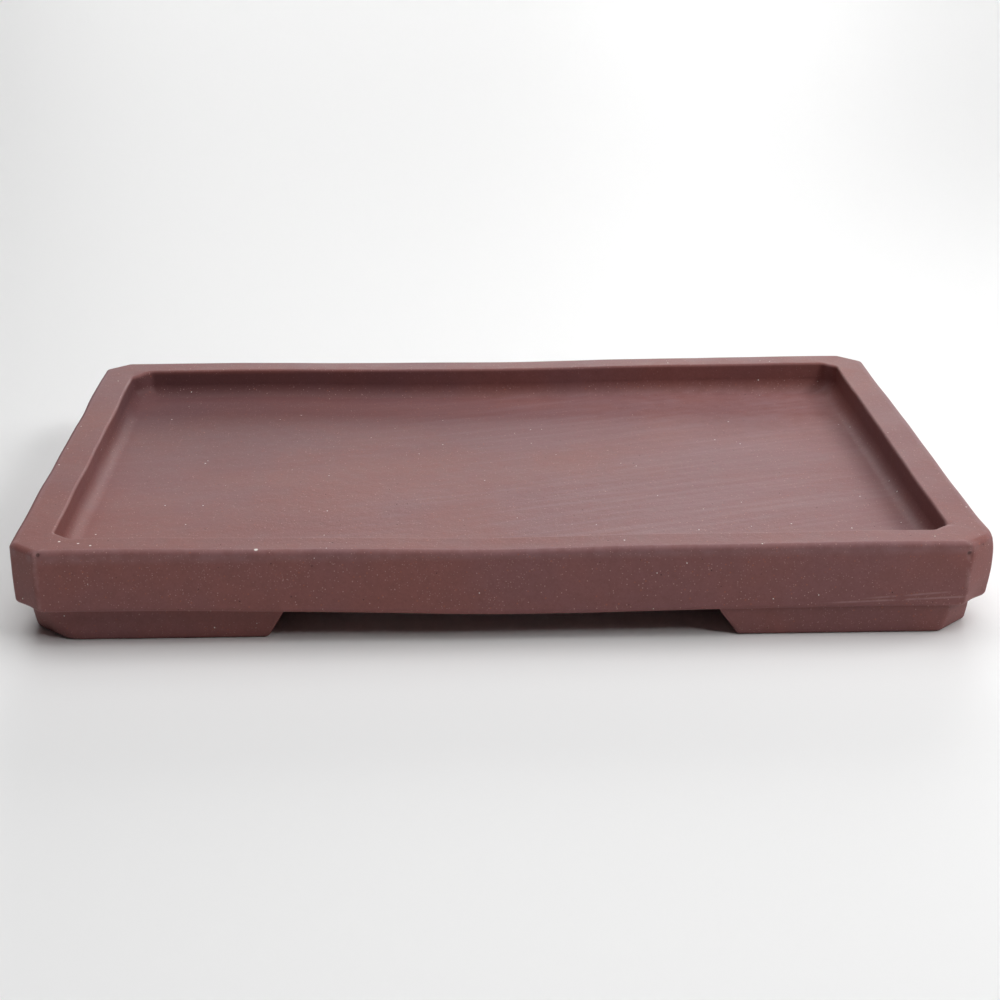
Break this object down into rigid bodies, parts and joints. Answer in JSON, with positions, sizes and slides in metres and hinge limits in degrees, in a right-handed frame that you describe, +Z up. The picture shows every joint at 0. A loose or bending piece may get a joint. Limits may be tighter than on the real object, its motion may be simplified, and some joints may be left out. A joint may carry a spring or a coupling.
{
  "type": "bonsai pot",
  "caption": "Shallow rectangular unglazed clay tray with cut corners, a flat rim, a coved recess with no drain holes and low bracket feet; holds a bonsai or its drip water.",
  "frame": {"origin": "middle of the tray's footprint, at the level of the surface that the feet stand on", "axes": "+X along the long side to the right, +Y towards the back, +Z up out of the tray"},
  "size_m": [0.3, 0.212, 0.031],
  "materials": {
    "floor_slab": "matte unglazed",
    "front_wall": "matte unglazed",
    "back_wall": "matte unglazed",
    "left_wall": "matte unglazed",
    "right_wall": "matte unglazed",
    "front_seam_coil": "matte unglazed",
    "back_seam_coil": "matte unglazed",
    "left_seam_coil": "matte unglazed",
    "right_seam_coil": "matte unglazed",
    "front_left_foot": "matte unglazed",
    "front_right_foot": "matte unglazed",
    "back_left_foot": "matte unglazed",
    "back_right_foot": "matte unglazed"
  },
  "bodies": {
    "root": {"floor_slab": "floor_slab", "front_wall": "front_wall", "back_wall": "back_wall", "left_wall": "left_wall", "right_wall": "right_wall", "front_seam_coil": "front_seam_coil", "back_seam_coil": "back_seam_coil", "left_seam_coil": "left_seam_coil", "right_seam_coil": "right_seam_coil", "front_left_foot": "front_left_foot", "front_right_foot": "front_right_foot", "back_left_foot": "back_left_foot", "back_right_foot": "back_right_foot"}
  },
  "joints": []
}
